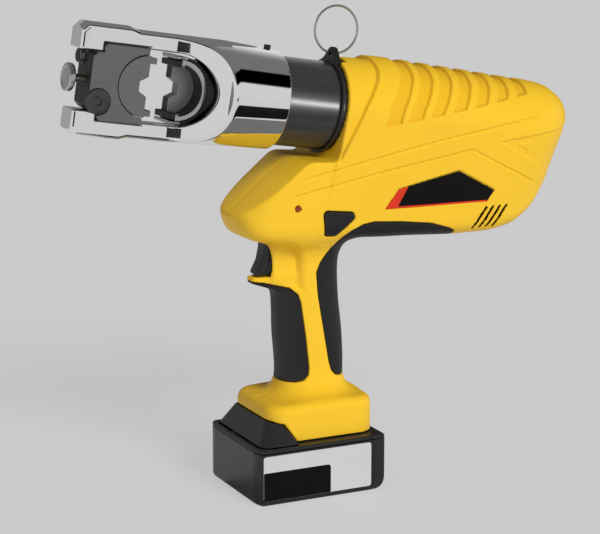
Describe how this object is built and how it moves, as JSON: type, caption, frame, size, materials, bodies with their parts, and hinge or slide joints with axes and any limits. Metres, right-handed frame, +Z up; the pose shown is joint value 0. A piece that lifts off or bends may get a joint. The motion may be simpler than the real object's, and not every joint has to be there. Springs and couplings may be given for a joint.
{
  "type": "hydraulic crimping tool",
  "caption": "pistol-form battery hydraulic crimping tool: open fork head with sliding gate, paired dies, swivelling ram cylinder, trigger grip and slide-off battery",
  "frame": {"origin": "centre of the battery's bottom face, on the table", "axes": "+Z up, +Y across the tool to its far side, -X toward the crimping head; the barrel line is tipped 9.2 degrees head-up in the XZ plane"},
  "size_m": [0.4285, 0.096, 0.3795],
  "materials": {
    "yellow_shell": "satin moulded",
    "soft_black": "fine grain",
    "black_plastic": "fine grain",
    "battery_black": "fine grain",
    "chrome": "polished",
    "black_cylinder": "semi gloss",
    "dark_steel": "ground, darkened",
    "die_steel": "ground",
    "steel": "turned",
    "spring_steel": "drawn wire",
    "bronze": "turned",
    "seal_rubber": "smooth",
    "aluminium": "machined",
    "board_green": "laminate",
    "lens_red": "clear",
    "accent_red": "printed film",
    "plate_black": "printed film",
    "plate_silver": "printed film",
    "copper": "wound",
    "cell_wrap": "shrink wrap"
  },
  "bodies": {
    "housing": {"left_housing": "yellow_shell", "right_housing": "yellow_shell", "front_grip": "soft_black", "rear_grip": "soft_black", "housing_screws": "steel", "indicator_lens": "lens_red", "side_plates": "plate_black", "plate_accents": "accent_red", "lanyard_collar": "black_plastic", "swivel_ring": "spring_steel", "pump_block": "aluminium", "oil_bladder": "seal_rubber", "motor_can": "steel", "gearbox_case": "aluminium", "control_board": "board_green", "trigger_switch": "black_plastic", "terminal_block": "black_plastic", "trigger_spring": "spring_steel", "button_spring": "spring_steel", "plunger_spring": "spring_steel"},
    "head": {"hydraulic_cylinder": "black_cylinder", "yoke": "chrome", "yoke_set_screw": "dark_steel", "rod_gland": "bronze", "return_spring": "spring_steel"},
    "ram_slide": {"ram": "steel", "piston_seal": "seal_rubber", "inner_die": "die_steel"},
    "die_gate": {"gate": "dark_steel", "gate_stop_screw": "dark_steel", "pin_bush": "bronze", "outer_die": "die_steel", "pin_spring": "spring_steel"},
    "die_pin": {"pull_pin": "steel"},
    "trigger_body": {"trigger": "black_plastic"},
    "oil_release": {"release_button": "black_plastic"},
    "strap_ring": {"lanyard_ring": "steel"},
    "rotor": {"motor_rotor": "copper"},
    "pump_shaft": {"eccentric_shaft": "steel"},
    "plunger": {"pump_plunger": "steel"},
    "battery": {"battery_case": "battery_black", "battery_lid": "battery_black", "battery_cells": "cell_wrap", "battery_terminals": "bronze", "battery_plates": "plate_silver", "battery_plate_inserts": "plate_black", "latch_spring": "spring_steel"},
    "battery_catch": {"battery_latch": "battery_black"}
  },
  "joints": [
    {"name": "head_swivel", "type": "hinge", "parent": "housing", "child": "head", "pos_m": [0.0063, 0, 0.3045], "axis": [-0.9871, 0, 0.1599], "range_deg": [-175, 175]},
    {"name": "ram_travel", "type": "slide", "parent": "head", "child": "ram_slide", "axis": [-0.9871, 0, 0.1599], "range_m": [0, 0.0145], "stiffness_N_per_m": 800, "springref_m": -0.02, "deforming": ["return_spring"]},
    {"name": "gate_slide", "type": "slide", "parent": "head", "child": "die_gate", "axis": [0, -1, 0], "range_m": [0, 0.05]},
    {"name": "die_pin_pull", "type": "slide", "parent": "die_gate", "child": "die_pin", "axis": [-0.9871, 0, 0.1599], "range_m": [0, 0.006], "stiffness_N_per_m": 500, "springref_m": -0.004, "deforming": ["pin_spring"]},
    {"name": "trigger_pull", "type": "slide", "parent": "housing", "child": "trigger_body", "axis": [1, 0, 0], "range_m": [0, 0.006], "stiffness_N_per_m": 600, "springref_m": -0.004, "deforming": ["trigger_spring"]},
    {"name": "oil_release_press", "type": "slide", "parent": "housing", "child": "oil_release", "axis": [0, 1, 0], "range_m": [0, 0.0025], "stiffness_N_per_m": 900, "springref_m": -0.003, "deforming": ["button_spring"]},
    {"name": "strap_ring_swing", "type": "hinge", "parent": "housing", "child": "strap_ring", "pos_m": [0.03102, 0, 0.34203], "axis": [0.9871, 0, -0.1599], "range_deg": [-80, 80]},
    {"name": "motor_spin", "type": "hinge", "parent": "housing", "child": "rotor", "pos_m": [0.15437, 0, 0.28052], "axis": [0.9871, 0, -0.1599], "continuous": true},
    {"name": "pump_shaft_spin", "type": "hinge", "parent": "housing", "child": "pump_shaft", "pos_m": [0.09514, 0, 0.29011], "axis": [0.9871, 0, -0.1599], "continuous": true},
    {"name": "plunger_stroke", "type": "slide", "parent": "housing", "child": "plunger", "axis": [-0.1599, 0, -0.9871], "range_m": [0, 0.003], "stiffness_N_per_m": 2000, "springref_m": -0.003, "deforming": ["plunger_spring"]},
    {"name": "battery_slide", "type": "slide", "parent": "housing", "child": "battery", "axis": [-1, 0, 0], "range_m": [0, 0.1]},
    {"name": "battery_catch_press", "type": "slide", "parent": "battery", "child": "battery_catch", "axis": [0, 0, -1], "range_m": [0, 0.0025], "stiffness_N_per_m": 900, "springref_m": -0.004, "deforming": ["latch_spring"]}
  ],
  "couplings": [
    {"joint": "pump_shaft_spin", "follows": "motor_spin", "ratio": 0.2}
  ]
}
